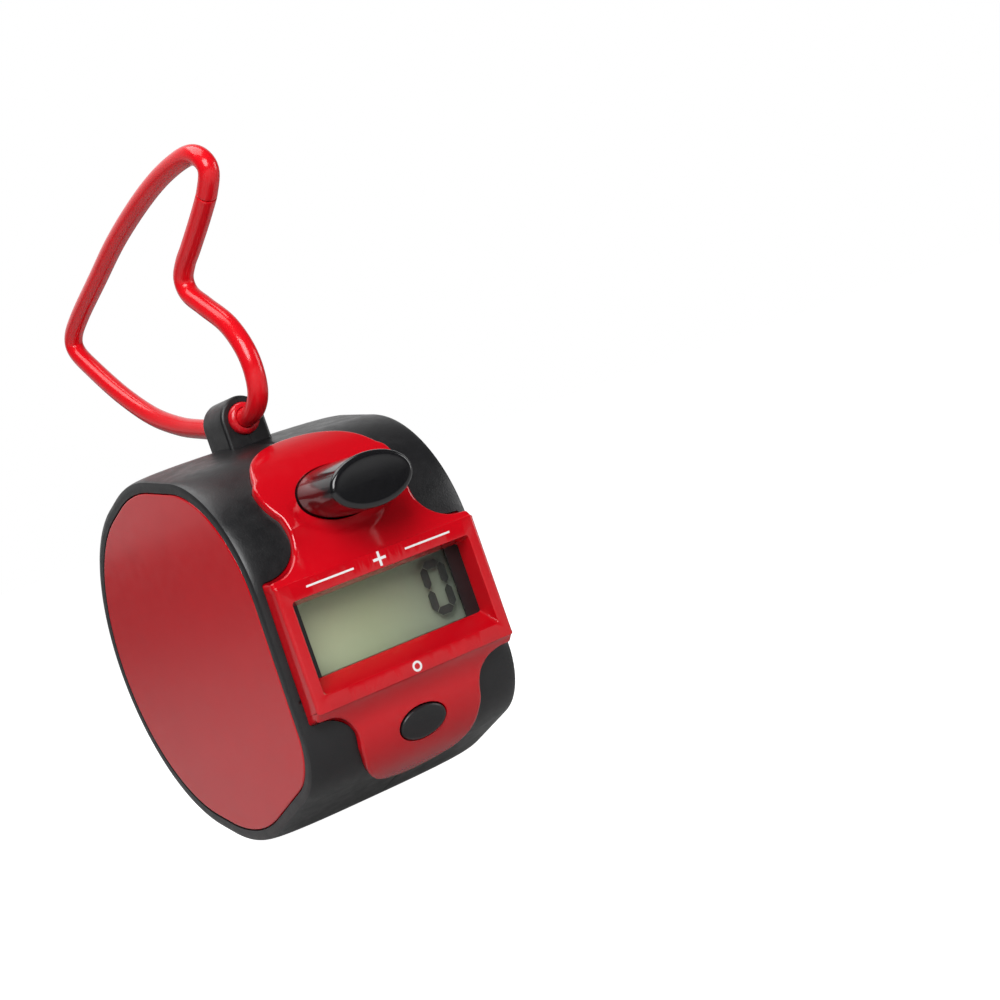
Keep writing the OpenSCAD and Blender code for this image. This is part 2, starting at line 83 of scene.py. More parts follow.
WAIST = (8.2, 8.4)
SHOULDER = (4.2, 17.4, 5.0)
BROW_REACH = (3.5, 9.0, 6.0)
CHIN_REACH = (1.6, 8.4, 4.0)
UPPER_FOOT_Z = 12.8
LOWER_FOOT_Z = -10.9
COUNT_KEY = (5.35, 3.15)
COUNT_Z = 15.2
COUNT_FRONT = -4.9
KEY_EDGE = 0.55
RESET_KEY = (3.15, 1.9)
RESET_Z = -13.0
LCD_Z = 0.4
LCD_POCKET = (12.45, LCD_Z - 6.45, LCD_Z + 6.45)
EYE_Z = 27.0
LUG = (2.9, 21.0, 27.0)
HUB_R = 2.0
CORD_R = 1.25
SEAM = (10.4, 52.5)
FRONT_RUN = (
    SEAM, (14.3, 50.5), (19.0, 48.3), (21.9, 47.0), (23.8, 45.5), (23.5, 43.5), (20.6, 41.2), (16.5, 38.0),
    (14.3, 34.3), (14.2, 30.9), (15.8, 28.3), (19.6, EYE_Z))
BACK_RUN = (
    (28.4, EYE_Z), (33.8, 27.9), (39.8, 29.4), (46.8, 32.1), (54.0, 36.4), (60.5, 41.4), (64.0, 44.7),
    (63.5, 46.8), (58.7, 48.8), (49.3, 51.5), (39.4, 54.3), (29.8, 56.3), (21.4, 57.5), (14.5, 57.8),
    (10.5, 57.4), (8.3, 56.1), (8.0, 54.5), SEAM)
SCREW_POSTS = ((17.5, 15.6), (19.0, -14.5), (39.5, 14.2), (41.5, -12.0))
COVER_SCREW = (36.7, -9.4)
CELL = (39.5, 1.2)
SCREW_BORE_R = 1.02

# ---- surroundings, for light and reflections only ----

BRIGHT_SIDE = (0.3, 0.95, 0.08)
WORLD_LEVELS = ((0.0, 0.03), (0.7, 0.04), (0.82, 0.22), (0.96, 0.8))


# ---- node materials ----

def set_stops(ramp_node, stops):
    """Gives a colour ramp its stops of (position, colour)."""
    elements = ramp_node.color_ramp.elements
    while len(elements) < len(stops):
        elements.new(0.5)
    for element, (position, color) in zip(elements, stops):
        element.position = position
        element.color = (*color, 1.0)


class Nodes:
    """A material and short ways to add and join its nodes."""

    def __init__(self, name):
        self.material = bpy.data.materials.new(name)
        self.material.use_nodes = True
        self.tree = self.material.node_tree
        self.tree.nodes.clear()
        self.out = self.tree.nodes.new("ShaderNodeOutputMaterial")

    def add(self, kind, **inputs):
        node = self.tree.nodes.new(kind)
        for key, value in inputs.items():
            label = key.replace("_", " ")
            if label in node.inputs:
                node.inputs[label].default_value = value
            else:
                setattr(node, key, value)
        return node

    def link(self, source, target):
        self.tree.links.new(source, target)

    def noise(self, size_mm, detail=3.0, rough=0.55):
        """Noise whose features are about size_mm across, in the piece's own space."""
        where = self.add("ShaderNodeTexCoord")
        noise = self.add("ShaderNodeTexNoise", Scale=1000.0 / size_mm, Detail=detail, Roughness=rough)
        self.link(where.outputs["Object"], noise.inputs["Vector"])
        return noise.outputs["Fac"]

    def span(self, value, low, high, from_low=0.35, from_high=0.65):
        """Maps a noise value onto low..high."""
        node = self.add("ShaderNodeMapRange")
        node.inputs["From Min"].default_value = from_low
        node.inputs["From Max"].default_value = from_high
        node.inputs["To Min"].default_value = low
        node.inputs["To Max"].default_value = high
        self.link(value, node.inputs["Value"])
        return node.outputs["Result"]

    def ramp(self, value, stops):
        """Colour ramp with stops of (position, colour)."""
        node = self.add("ShaderNodeValToRGB")
        set_stops(node, stops)
        self.link(value, node.inputs["Fac"])
        return node.outputs["Color"]

    def bump(self, value, depth_mm, strength=1.0, under=None):
        node = self.add("ShaderNodeBump", Strength=strength, Distance=depth_mm * MM)
        self.link(value, node.inputs["Height"])
        if under is not None:
            self.link(under, node.inputs["Normal"])
        return node.outputs["Normal"]


def shade(color, factor):
    return tuple(min(1.0, c * factor) for c in color)


def plastic(name, color, rough, grain=0.0, depth=0.0, waviness=0.0, spread=0.06, coat=0.0,
            soft=0.0, specular=0.5, mottle=0.12):
    """Moulded plastic: fine grain, slow waviness, and slight changes of tone and gloss."""
    n = Nodes(name)
    skin = n.add("ShaderNodeBsdfPrincipled")
    slow = n.noise(7.0, 4.0)
    n.link(n.ramp(slow, [(0.3, shade(color, 1 - mottle)), (0.7, shade(color, 1 + mottle))]),
           skin.inputs["Base Color"])
    n.link(n.span(n.noise(1.6, 5.0), rough - spread, rough + spread), skin.inputs["Roughness"])
    skin.inputs["Specular IOR Level"].default_value = specular
    skin.inputs["Coat Weight"].default_value = coat
    skin.inputs["Coat Roughness"].default_value = 0.08
    if soft:
        skin.inputs["Subsurface Weight"].default_value = soft
        skin.inputs["Subsurface Radius"].default_value = (1.6 * MM, 0.35 * MM, 0.3 * MM)
        skin.inputs["Subsurface Scale"].default_value = 1.0
    normal = None
    if waviness:
        normal = n.bump(n.noise(6.0, 1.0), waviness)
    if grain:
        normal = n.bump(n.noise(grain, 2.0, 0.6), depth, under=normal)
    if normal is not None:
        n.link(normal, skin.inputs["Normal"])
    n.link(skin.outputs["BSDF"], n.out.inputs["Surface"])
    return n.material


def metal(name, color, rough, stretch=(1.0, 1.0, 12.0)):
    """Plated metal with fine brushed lines and faint stains."""
    n = Nodes(name)
    skin = n.add("ShaderNodeBsdfPrincipled", Metallic=1.0)
    where = n.add("ShaderNodeTexCoord")
    mapping = n.add("ShaderNodeMapping")
    mapping.inputs["Scale"].default_value = stretch
    n.link(where.outputs["Object"], mapping.inputs["Vector"])
    lines = n.add("ShaderNodeTexNoise", Scale=900.0, Detail=4.0)
    n.link(mapping.outputs["Vector"], lines.inputs["Vector"])
    n.link(n.ramp(n.noise(2.5), [(0.3, shade(color, 0.82)), (0.7, color)]), skin.inputs["Base Color"])
    n.link(n.span(lines.outputs["Fac"], rough - 0.08, rough + 0.1), skin.inputs["Roughness"])
    n.link(n.bump(lines.outputs["Fac"], 0.01), skin.inputs["Normal"])
    n.link(skin.outputs["BSDF"], n.out.inputs["Surface"])
    return n.material


def clear_glass(name, tint, gloss):
    """Thin clear sheet: see-through straight on, reflecting more at a slant, with faint smudges."""
    n = Nodes(name)
    through = n.add("ShaderNodeBsdfTransparent", Color=(*tint, 1.0))
    shine = n.add("ShaderNodeBsdfGlossy", Color=(1, 1, 1, 1))
    n.link(n.span(n.noise(3.0), 0.03, 0.1), shine.inputs["Roughness"])
    slant = n.add("ShaderNodeFresnel", IOR=1.45)
    gain = n.add("ShaderNodeMath", operation="MULTIPLY")
    gain.inputs[1].default_value = gloss
    n.link(slant.outputs["Fac"], gain.inputs[0])
    side = n.add("ShaderNodeNewGeometry")
    front = n.add("ShaderNodeMath", operation="SUBTRACT")
    front.inputs[0].default_value = 1.0
    n.link(side.outputs["Backfacing"], front.inputs[1])
    outer = n.add("ShaderNodeMath", operation="MULTIPLY")
    n.link(gain.outputs["Value"], outer.inputs[0])
    n.link(front.outputs["Value"], outer.inputs[1])
    mix = n.add("ShaderNodeMixShader")
    n.link(outer.outputs["Value"], mix.inputs["Fac"])
    n.link(through.outputs["BSDF"], mix.inputs[1])
    n.link(shine.outputs["BSDF"], mix.inputs[2])
    n.link(mix.outputs["Shader"], n.out.inputs["Surface"])
    return n.material


def reflector(name):
    """Back of the display: greenish grey with fine grain, and painted light along X: lighter and greener on
    the left, a darker bluish grey painted reflection and shade on the right.
    """
    n = Nodes(name)
    skin = n.add("ShaderNodeBsdfPrincipled", Roughness=0.45)
    where = n.add("ShaderNodeTexCoord")
    split = n.add("ShaderNodeSeparateXYZ")
    n.link(where.outputs["Object"], split.inputs["Vector"])
    across = n.span(split.outputs["X"], 0.0, 1.0, -11 * MM, 11 * MM)
    # painted light: the tone runs from a lit greenish grey at the left to a darker bluish grey at the right,
    # which is a painted reflection and shade
    tone = n.ramp(across, [(0.0, (0.74, 0.77, 0.6)), (0.45, (0.56, 0.6, 0.45)), (1.0, (0.36, 0.39, 0.37))])
    grain = n.ramp(n.noise(0.12, 2.0), [(0.3, (0.93, 0.93, 0.93)), (0.7, (1, 1, 1))])
    mix = n.add("ShaderNodeMix", data_type="RGBA", blend_type="MULTIPLY")
    mix.inputs["Factor"].default_value = 1.0
    n.link(tone, mix.inputs["A"])
    n.link(grain, mix.inputs["B"])
    n.link(mix.outputs["Result"], skin.inputs["Base Color"])
    n.link(n.bump(n.noise(0.2), 0.01), skin.inputs["Normal"])
    n.link(skin.outputs["BSDF"], n.out.inputs["Surface"])
    return n.material


def board_green(name):
    """Solder mask over tracks: a finer brick pattern, slightly raised and lighter."""
    n = Nodes(name)
    skin = n.add("ShaderNodeBsdfPrincipled", Roughness=0.3)
    where = n.add("ShaderNodeTexCoord")
    mapping = n.add("ShaderNodeMapping")
    mapping.inputs["Rotation"].default_value = (math.pi / 2, 0, 0)
    n.link(where.outputs["Object"], mapping.inputs["Vector"])
    tracks = n.add("ShaderNodeTexBrick", Scale=1000.0 / 9.0)
    tracks.inputs["Color1"].default_value = (0.012, 0.09, 0.03, 1)
    tracks.inputs["Color2"].default_value = (0.016, 0.11, 0.035, 1)
    tracks.inputs["Mortar"].default_value = (0.04, 0.2, 0.07, 1)
    tracks.inputs["Mortar Size"].default_value = 0.03
    n.link(mapping.outputs["Vector"], tracks.inputs["Vector"])
    n.link(tracks.outputs["Color"], skin.inputs["Base Color"])
    n.link(n.bump(tracks.outputs["Fac"], 0.03, under=n.bump(n.noise(0.6), 0.01)), skin.inputs["Normal"])
    n.link(skin.outputs["BSDF"], n.out.inputs["Surface"])
    return n.material


RED = (0.55, 0.002, 0.008)
FINISH = {
    "black_satin": plastic("black_satin", (0.010, 0.010, 0.011), 0.36, 0.2, 0.02, 0.0, 0.05),
    "black_gloss": plastic("black_gloss", (0.008, 0.008, 0.009), 0.16, 0.5, 0.002, 0.01, 0.03, 0.3),
    "red_gloss": plastic("red_gloss", RED, 0.14, 0.6, 0.0008, 0.006, 0.03, 0.2, mottle=0.03),
    "red_cord": plastic("red_cord", (0.74, 0.005, 0.012), 0.2, 0.0, 0.0, 0.01, 0.02, mottle=0.03),
    "red_hub": plastic("red_hub", (0.6, 0.006, 0.014), 0.24, 0.3, 0.004, 0.0, 0.04, soft=0.1, mottle=0.05),
    "white_ink": plastic("white_ink", (0.82, 0.8, 0.8), 0.45, 0.1, 0.004, mottle=0.05),
    "segment": plastic("segment", (0.022, 0.024, 0.022), 0.5, 0.1, 0.002),
    "front_glass": clear_glass("front_glass", (0.96, 0.97, 0.95), 1.0),
    "rear_glass": clear_glass("rear_glass", (0.94, 0.95, 0.92), 0.4),
    "reflector": reflector("reflector"),
    "board": board_green("board_green"),
    "resin": plastic("resin", (0.012, 0.012, 0.013), 0.28, 0.8, 0.01, 0.02, 0.08),
    "ceramic": plastic("ceramic", (0.32, 0.25, 0.17), 0.5, 0.1, 0.006),
    "silicone": plastic("silicone", (0.5, 0.26, 0.3), 0.55, 0.2, 0.008, soft=0.1),
    "steel": metal("steel", (0.62, 0.61, 0.6), 0.3),
    "spring_steel": metal("spring_steel", (0.5, 0.5, 0.5), 0.28, (1.0, 6.0, 1.0)),
    "cell_steel": metal("cell_steel", (0.66, 0.66, 0.64), 0.24, (12.0, 1.0, 1.0)),
}


# ---- mesh helpers ----

def smooth(obj, angle=32.0, weighted=True):
    """Smooth shading that keeps edges over the angle sharp."""
    obj.data.shade_smooth()
    obj.data.set_sharp_from_angle(angle=math.radians(angle))
    if weighted:
        even = obj.modifiers.new("even_normals", "WEIGHTED_NORMAL")
        even.keep_sharp = True


def raw_object(name, verts, faces):
    """Object from points in millimetres, with its faces turned outwards."""
    mesh = bpy.data.meshes.new(name)
    mesh.from_pydata([tuple(float(c) * MM for c in v) for v in verts], [], faces)
    tidy_mesh(mesh)
    obj = bpy.data.objects.new(name, mesh)
    scene.collection.objects.link(obj)
    return obj


def tidy_mesh(mesh):
    bm = bmesh.new()
    bm.from_mesh(mesh)
    bmesh.ops.remove_doubles(bm, verts=bm.verts, dist=0.0005 * MM)
    bmesh.ops.recalc_face_normals(bm, faces=bm.faces)
    if bm.calc_volume(signed=True) < 0:
        bmesh.ops.reverse_faces(bm, faces=bm.faces)
    bm.to_mesh(mesh)
    bm.free()


def dress(obj, finish, body, slot, *nodes, angle=32.0, weighted=True):
    """Gives a piece its material, its body and the CAD nodes it stands for."""
    obj.data.materials.clear()
    obj.data.materials.append(FINISH[finish])
    smooth(obj, angle, weighted)
    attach(obj, body)
    if nodes:
        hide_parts(*nodes)
    return obj


def loft(rings, caps=True):
    """Points and faces of a skin over closed rings of equal length, with its ends closed."""
    count = len(rings[0])
    verts = [tuple(p) for ring in rings for p in ring]
    faces = []
    for i in range(len(rings) - 1):
        a, b = i * count, (i + 1) * count
        faces += [(a + j, a + (j + 1) % count, b + (j + 1) % count, b + j) for j in range(count)]
    if caps:
        faces.append(tuple(reversed(range(count))))
        faces.append(tuple(range(len(verts) - count, len(verts))))
    return verts, faces


def join(parts):
    """One list of points and faces from several."""
    verts, faces = [], []
    for part_verts, part_faces in parts:
        shift = len(verts)
        verts += part_verts
        faces += [tuple(i + shift for i in face) for face in part_faces]
    return verts, faces


def box_part(low, high):
    corners = [(x, y, z) for x in (low[0], high[0]) for y in (low[1], high[1]) for z in (low[2], high[2])]
    faces = [(0, 1, 3, 2), (4, 6, 7, 5), (0, 4, 5, 1), (2, 3, 7, 6), (0, 2, 6, 4), (1, 5, 7, 3)]
    return corners, faces


def oval(cx, cz, rx, rz, y, count=96):
    """Closed ring at depth y round (cx, cz)."""
    angles = np.linspace(0, 2 * math.pi, count, endpoint=False)
    return [(cx + rx * math.cos(t), y, cz + rz * math.sin(t)) for t in angles]


def oval_xz(cz, radii, gap):
    """Closed line (x, z) gap outside an oval at height cz."""
    return [(x, z) for x, _, z in oval(0, cz, radii[0] + gap, radii[1] + gap, 0)]


def turned_x(at, steps, count=48):
    """Turned part about an axis along X; steps are (x, radius)."""
    angles = np.linspace(0, 2 * math.pi, count, endpoint=False)
    return loft([[(x, at[0] + r * math.cos(t), at[1] + r * math.sin(t)) for t in angles] for x, r in steps])


def tube(points, radius, sides=32, inner_r=0.0, inner_depth=0.0):
    """Round cord through points, with flat ends that may hold a blind bore."""
    pts = np.array(points, float)
    along = np.gradient(pts, axis=0)
    along /= np.linalg.norm(along, axis=1)[:, None]
    side = np.array((1.0, 0.0, 0.0)) if abs(along[0][0]) < 0.9 else np.array((0.0, 0.0, 1.0))
    angles = np.linspace(0, 2 * math.pi, sides, endpoint=False)
    frames = []
    for p, t in zip(pts, along):
        side = side - t * side.dot(t)
        side /= np.linalg.norm(side)
        frames.append((p, t, side, np.cross(t, side)))

    def ring(f, r, push=0.0):
        p, t, a, b = f
        return [tuple(p + t * push + r * (a * math.cos(w) + b * math.sin(w))) for w in angles]

    lip = min(0.12, radius * 0.3)
    first, last = frames[0], frames[-1]
    rings = [ring(first, inner_r, inner_depth), ring(first, inner_r)] if inner_r else []
    rings += [ring(first, radius - lip), ring(first, radius - lip * 0.3, lip * 0.3)]
    rings += [ring(f, radius, lip if f is first else (-lip if f is last else 0)) for f in frames]
    rings += [ring(last, radius - lip * 0.3, -lip * 0.3), ring(last, radius - lip)]
    if inner_r:
        rings += [ring(last, inner_r), ring(last, inner_r, -inner_depth)]
    return loft(rings)


def combine(obj, cutter_part, operation="DIFFERENCE"):
    """Cuts a closed part out of obj, or joins it on, and keeps the result."""
    tool = raw_object("tool", *cutter_part)
    modifier = obj.modifiers.new("combine", "BOOLEAN")
    modifier.operation = operation
    modifier.solver = "EXACT"
    modifier.object = tool
    result = bpy.data.meshes.new_from_object(obj.evaluated_get(bpy.context.evaluated_depsgraph_get()))
    obj.modifiers.clear()
    obj.data = result
    bpy.data.objects.remove(tool)


# ---- side profile ----

def touch(a, b):
    """Outward normal of the line that touches two circles (y, z, r), taken anticlockwise."""
    v = np.array((b[0] - a[0], b[1] - a[1]))
    size = np.linalg.norm(v)
    e, s = v / size, (a[2] - b[2]) / size
    return e * s + np.array((e[1], -e[0])) * math.sqrt(1 - s * s)


def belt(count):
    """Points and outward normals of the tight belt round the lobes, evenly spaced."""
    ring = (BACK_LOBE, BELLY_LOBE, BROW_LOBE, CHIN_LOBE, BELLY_LOBE)
    points, normals = [], []
    for i, lobe in enumerate(ring):
        start = touch(ring[i - 1], lobe)
        end = touch(lobe, ring[(i + 1) % 5])
        a0 = math.atan2(start[1], start[0])
        a1 = math.atan2(end[1], end[0])
        a1 += 2 * math.pi if a1 < a0 else 0
        for t in np.linspace(a0, a1, 400):
            u = np.array((math.cos(t), math.sin(t)))
            points.append(np.array(lobe[:2]) + lobe[2] * u)
            normals.append(u)
    points.append(points[0])
    normals.append(normals[0])
    points, normals = np.array(points), np.array(normals)
    length = np.concatenate(([0], np.cumsum(np.linalg.norm(np.diff(points, axis=0), axis=1))))
    at = np.linspace(0, length[-1], count, endpoint=False)
    even = np.stack([np.interp(at, length, points[:, k]) for k in (0, 1)], 1)
    turned = np.stack([np.interp(at, length, normals[:, k]) for k in (0, 1)], 1)
    return even, turned / np.linalg.norm(turned, axis=1)[:, None]


BELT, BELT_N = belt(480)


def belt_part(steps):
    """Closed skin through (x, growth) steps of the side profile."""
    rings = []
    for x, grow in steps:
        outline = BELT + BELT_N * grow
        rings.append([(x, y, z) for y, z in outline])
    return loft(rings)


def crown(x):
    return CROWN * (1 - (abs(x) / HALF_W) ** 3) ** (1 / 3) if abs(x) < HALF_W else 0.0


# ---- fascia: one plate, drawn flat as (x, length along its side view) and then bent ----

def arc_points(a, b, sag, count):
    """Points of an arc from a to b that sinks by sag towards +Y."""
    a, b = np.array(a), np.array(b)
    half = np.linalg.norm(b - a) / 2
    r = (half * half + sag * sag) / (2 * sag)
    e = (b - a) / (2 * half)
    away = np.array((e[1], -e[0]))
    if away[0] > 0:
        away = -away
    centre = (a + b) / 2 + away * (r - sag)
    t = np.linspace(0, 1, count)
    start, end = a - centre, b - centre
    swing = math.acos(start.dot(end) / (r * r))
    weights = np.stack([np.sin((1 - t) * swing), np.sin(t * swing)], 1) / math.sin(swing)
    return centre + weights @ np.stack([start, end])


class Bend:
    """Side view of the fascia: its face, its underside and its normal along their length."""

    def __init__(self):
        fine, fine_n = belt(2400)
        face, seat = fine + fine_n * FASCIA_RISE, fine + fine_n * SEAT_RISE
        top = (face[:, 1] >= UPPER_FOOT_Z) & (face[:, 0] <= 12.9)
        low = (face[:, 1] <= LOWER_FOOT_Z) & (face[:, 0] <= 10.4)
        up_face, up_seat = face[top][::-1], seat[top][::-1]
        low_face, low_seat = face[low][::-1], seat[low][::-1]
        edge = [(0.25, BEZEL_Z), (0.13, BEZEL_Z - 0.005), (0.05, BEZEL_Z - 0.05), (0.0, BEZEL_Z - 0.14)]
        low_edge = [(y, -z) for y, z in edge]
        flat = [(0.0, z) for z in np.linspace(-BEZEL_Z + 0.5, BEZEL_Z - 0.5, 40)]
        flat_back = [(BEZEL_DEPTH, p[1]) for p in low_edge + flat + edge[::-1]]
        low_ramp = arc_points(low_face[-1], low_edge[0], 0.4, 26)[1:-1]
        up_ramp = arc_points(edge[0], up_face[0], 0.5, 32)[1:-1]
        low_under = self.between(low_seat[-1], flat_back[0], len(low_ramp))
        up_under = self.between(flat_back[-1], up_seat[0], len(up_ramp))
        self.face = np.concatenate([low_face, low_ramp, low_edge, flat, edge[::-1], up_ramp, up_face])
        self.under = np.concatenate([low_seat, low_under, flat_back, up_under, up_seat])
        steps = np.linalg.norm(np.diff(self.face, axis=0), axis=1)
        self.length = np.concatenate(([0], np.cumsum(steps)))
        along = np.gradient(self.face, self.length, axis=0)
        normal = np.stack([-along[:, 1], along[:, 0]], 1)
        self.normal = normal / np.linalg.norm(normal, axis=1)[:, None]

    @staticmethod
    def between(a, b, count):
        t = np.linspace(0, 1, count + 2)[1:-1, None]
        return np.array(a) * (1 - t) + np.array(b) * t

    def at(self, line, s):
        return np.stack([np.interp(s, self.length, line[:, k]) for k in (0, 1)], 1)

    def s_of_z(self, z, line=None):
        line = self.face if line is None else line
        rising = np.maximum.accumulate(line[:, 1])
        inside = (self.length > self.s_low_y(10.0)) & (self.face[:, 0] < 9.0)
        return np.interp(z, rising[inside], self.length[inside])

    def s_low_y(self, y):
        part = self.face[:, 1] < LOWER_FOOT_Z
        return np.interp(-np.asarray(y), -self.face[part][:, 0], self.length[part])

    def s_top_y(self, y):
        part = self.face[:, 1] > UPPER_FOOT_Z
        return np.interp(y, self.face[part][:, 0], self.length[part])


BEND = Bend()


def arc_xz(centre, r, a0, a1, count):
    """Points (x, z) of an arc, angles in degrees."""
    t = np.radians(np.linspace(a0, a1, count))
    return [(centre[0] + r * math.cos(w), centre[1] + r * math.sin(w)) for w in t]


def fascia_outline():
    """Outline of the fascia as (x, s): the right side from the chin's tip to the brow's, then mirrored."""
    tip_y, tip_r, tip_band = CHIN_REACH
    start = math.degrees(math.asin((tip_band - tip_y) / tip_r))
    side = []
    for t in np.radians(np.linspace(90, start, 40)):
        side.append((tip_r * math.cos(t), float(BEND.s_low_y(tip_y + tip_r * math.sin(t)))))
    for x, z in [(WAIST[1], -13.4)] + arc_xz(LOWER_NOTCH, LOWER_NOTCH[2], 180, 90, 30):
        side.append((x, float(BEND.s_of_z(z))))
    edge_low = LOWER_NOTCH[1] + LOWER_NOTCH[2]
    edge_top = UPPER_NOTCH[1] - UPPER_NOTCH[2]
    side += [(BEZEL_X, float(BEND.s_of_z(edge_low))), (BEZEL_X, float(BEND.s_of_z(edge_top)))]
    for x, z in arc_xz(UPPER_NOTCH, UPPER_NOTCH[2], 270, 180, 30):
        side.append((x, float(BEND.s_of_z(z))))
    top_y, top_r, top_band = BROW_REACH
    for x, z in arc_xz(SHOULDER, SHOULDER[2], -36, 16, 20):
        side.append((x, float(BEND.s_of_z(z))))
    start = math.degrees(math.asin((top_band + 0.6 - top_y) / top_r))
    for t in np.radians(np.linspace(start, 90, 50)):
        side.append((top_r * math.cos(t), float(BEND.s_top_y(top_y + top_r * math.sin(t)))))
    side = soften(resample(side, 0.2), 7)
    side[0, 0] = side[-1, 0] = 0.0
    mirrored = [(-x, s) for x, s in side[1:-1][::-1]]
    return np.concatenate([side, mirrored])


def resample(points, gap):
    points = np.array(points, float)
    length = np.concatenate(([0], np.cumsum(np.linalg.norm(np.diff(points, axis=0), axis=1))))
    at = np.linspace(0, length[-1], int(length[-1] / gap))
    return np.stack([np.interp(at, length, points[:, k]) for k in (0, 1)], 1)


def soften(points, rounds):
    """Rounds off the corners of an open line."""
    points = points.copy()
    for _ in range(rounds):
        points[1:-1] = 0.5 * points[1:-1] + 0.25 * (points[:-2] + points[2:])
    return points


def inset(loop, gap):
    """Closed anticlockwise loop moved inwards by gap."""
    loop = np.asarray(loop, float)
    along = np.roll(loop, -1, axis=0) - np.roll(loop, 1, axis=0)
    along /= np.linalg.norm(along, axis=1)[:, None]
    return loop + np.stack([-along[:, 1], along[:, 0]], 1) * gap


def hole_loops(points_xz):
    """A hole through the fascia along Y: its loop on the face and on the underside, as (x, s)."""
    face = [(x, float(BEND.s_of_z(z))) for x, z in points_xz]
    under = [(x, float(BEND.s_of_z(z, BEND.under))) for x, z in points_xz]
    return np.array(face), np.array(under)


def fill_closed(loop, gap):
    """Closed line with points added along its sides, at most gap apart."""
    filled = []
    for a, b in zip(loop, loop[1:] + loop[:1]):
        steps = max(1, int(math.dist(a, b) / gap))
        for i in range(steps):
            filled.append((a[0] + (b[0] - a[0]) * i / steps, a[1] + (b[1] - a[1]) * i / steps))
    return filled


def rounded_rectangle(x, low, high, r, count=7, gap=0.6):
    """Anticlockwise loop (x, z) with rounded corners and points along its sides."""
    corners = [(x - r, high - r, 0), (-x + r, high - r, 90), (-x + r, low + r, 180), (x - r, low + r, 270)]
    loop = []
    for cx, cz, a in corners:
        loop += arc_xz((cx, cz), r, a, a + 90, count)
    return fill_closed(loop, gap)


def plate(outer, holes, lip, depth, slices, across=()):
    """Flat plate as a bmesh: outer is a loop, holes are (face loop, underside loop, lip)."""
    bm = bmesh.new()
    steps = 5

    def loop_verts(points, h):
        return [bm.verts.new((p[0], p[1], h)) for p in points]

    def bridge(a, b):
        for i in range(len(a)):
            j = (i + 1) % len(a)
            bm.faces.new((a[i], a[j], b[j], b[i]))

    def edges_of(loops):
        found = []
        for verts in loops:
            for i, v in enumerate(verts):
                found.append(bm.edges.get((v, verts[(i + 1) % len(verts)])))
        return found

    def wall(face_loop, under_loop, lip_r, sign):
        rings = [loop_verts(under_loop, -depth)]
        for k in range(steps + 1):
            t = math.pi / 2 * (1 - k / steps)
            push = lip_r * (1 - math.sin(t))
            rings.append(loop_verts(inset(face_loop, sign * push), -lip_r * (1 - math.cos(t))))
        for a, b in zip(rings, rings[1:]):
            bridge(a, b)
        return rings[0], rings[-1]

    ends = [wall(outer, outer, lip, 1)]
    ends += [wall(face, under, hole_lip, -1) for face, under, hole_lip in holes]
    bmesh.ops.triangle_fill(bm, use_beauty=True, use_dissolve=False, edges=edges_of([e[1] for e in ends]))
    bmesh.ops.triangle_fill(bm, use_beauty=True, use_dissolve=False, edges=edges_of([e[0] for e in ends]))
    for axis, places in enumerate((across, slices)):
        for place in places:
            whole = bm.verts[:] + bm.edges[:] + bm.faces[:]
            point, normal = [0, 0, 0], [0, 0, 0]
            point[axis], normal[axis] = place, 1
            bmesh.ops.bisect_plane(bm, geom=whole, dist=1e-5, plane_co=point, plane_no=normal)
    return bm


def bent(bm, lip, depth, face_grow=0.0, under_grow=0.0, dish=0.0):
    """Bends a flat plate along the fascia's side view and returns points and faces."""
    bm.verts.ensure_lookup_table()
    flat = np.array([v.co for v in bm.verts])
    face, under = BEND.at(BEND.face, flat[:, 1]), BEND.at(BEND.under, flat[:, 1])
    normal = BEND.at(BEND.normal, flat[:, 1])
    normal /= np.linalg.norm(normal, axis=1)[:, None]
    near = np.clip(-flat[:, 2], 0, lip)[:, None]
    share = np.clip((-flat[:, 2] - lip) / (depth - lip), 0, 1)[:, None]
    under = under - normal * under_grow
    place = (face + normal * (face_grow - near)) * (1 - share) + under * share
    if dish:
        # shallow dish round the lower half of the count button
        ring = np.hypot(flat[:, 0] / (COUNT_KEY[0] + 1.9), (place[:, 1] - COUNT_Z) / (COUNT_KEY[1] + 2.0))
        low_half = np.clip((COUNT_Z + 0.6 - place[:, 1]) / 1.6, 0, 1)
        sunk = np.clip((1.0 - ring) / 0.16, 0, 1)
        place[:, 0] += dish * (sunk * sunk * (3 - 2 * sunk) * low_half * (1 - share[:, 0]))
    verts = [(flat[i, 0], place[i, 0], place[i, 1]) for i in range(len(flat))]
    bm.verts.index_update()
    faces = [tuple(v.index for v in f.verts) for f in bm.faces]
    bm.free()
    return verts, faces


def bend_slices(gap):
    """Where the plate needs cross cuts: everywhere but on the flat front."""
    z = BEND.face[:, 1]
    picked, last = [], -9.0
    for s, height in zip(BEND.length, z):
        flat = abs(height) < BEZEL_Z - 0.2
        if not flat and s - last > gap or BEZEL_Z - 0.2 < abs(height) < BEZEL_Z + 0.02:
            picked.append(float(s) + 1e-4)
            last = s
    return picked


def make_fascia():
    """Red front plate with openings for both buttons and the display."""
    key = oval_xz(COUNT_Z, COUNT_KEY, KEY_SLACK)
    reset = oval_xz(RESET_Z, RESET_KEY, KEY_SLACK)
    window = rounded_rectangle(OPENING[0], OPENING[1], OPENING[2], 0.4)
    window_face = hole_loops(window)[0]
    window_under = hole_loops([
        (x, THROAT[0] + (z - OPENING[1]) * (THROAT[1] - THROAT[0]) / (OPENING[2] - OPENING[1]))
        for x, z in window])[1]
    holes = [(*hole_loops(key), 0.1), (*hole_loops(reset), 0.1), (window_face, window_under, 0.14)]
    across = np.arange(-9.01, 9.1, 0.45)
    bm = plate(fascia_outline(), holes, FASCIA_LIP, FASCIA_DEPTH, bend_slices(0.3), across)
    obj = raw_object("fascia_skin", *bent(bm, FASCIA_LIP, FASCIA_DEPTH, dish=FASCIA_DISH))
    return dress(obj, "red_gloss", "case", "red_gloss_plastic", "fascia", angle=40)


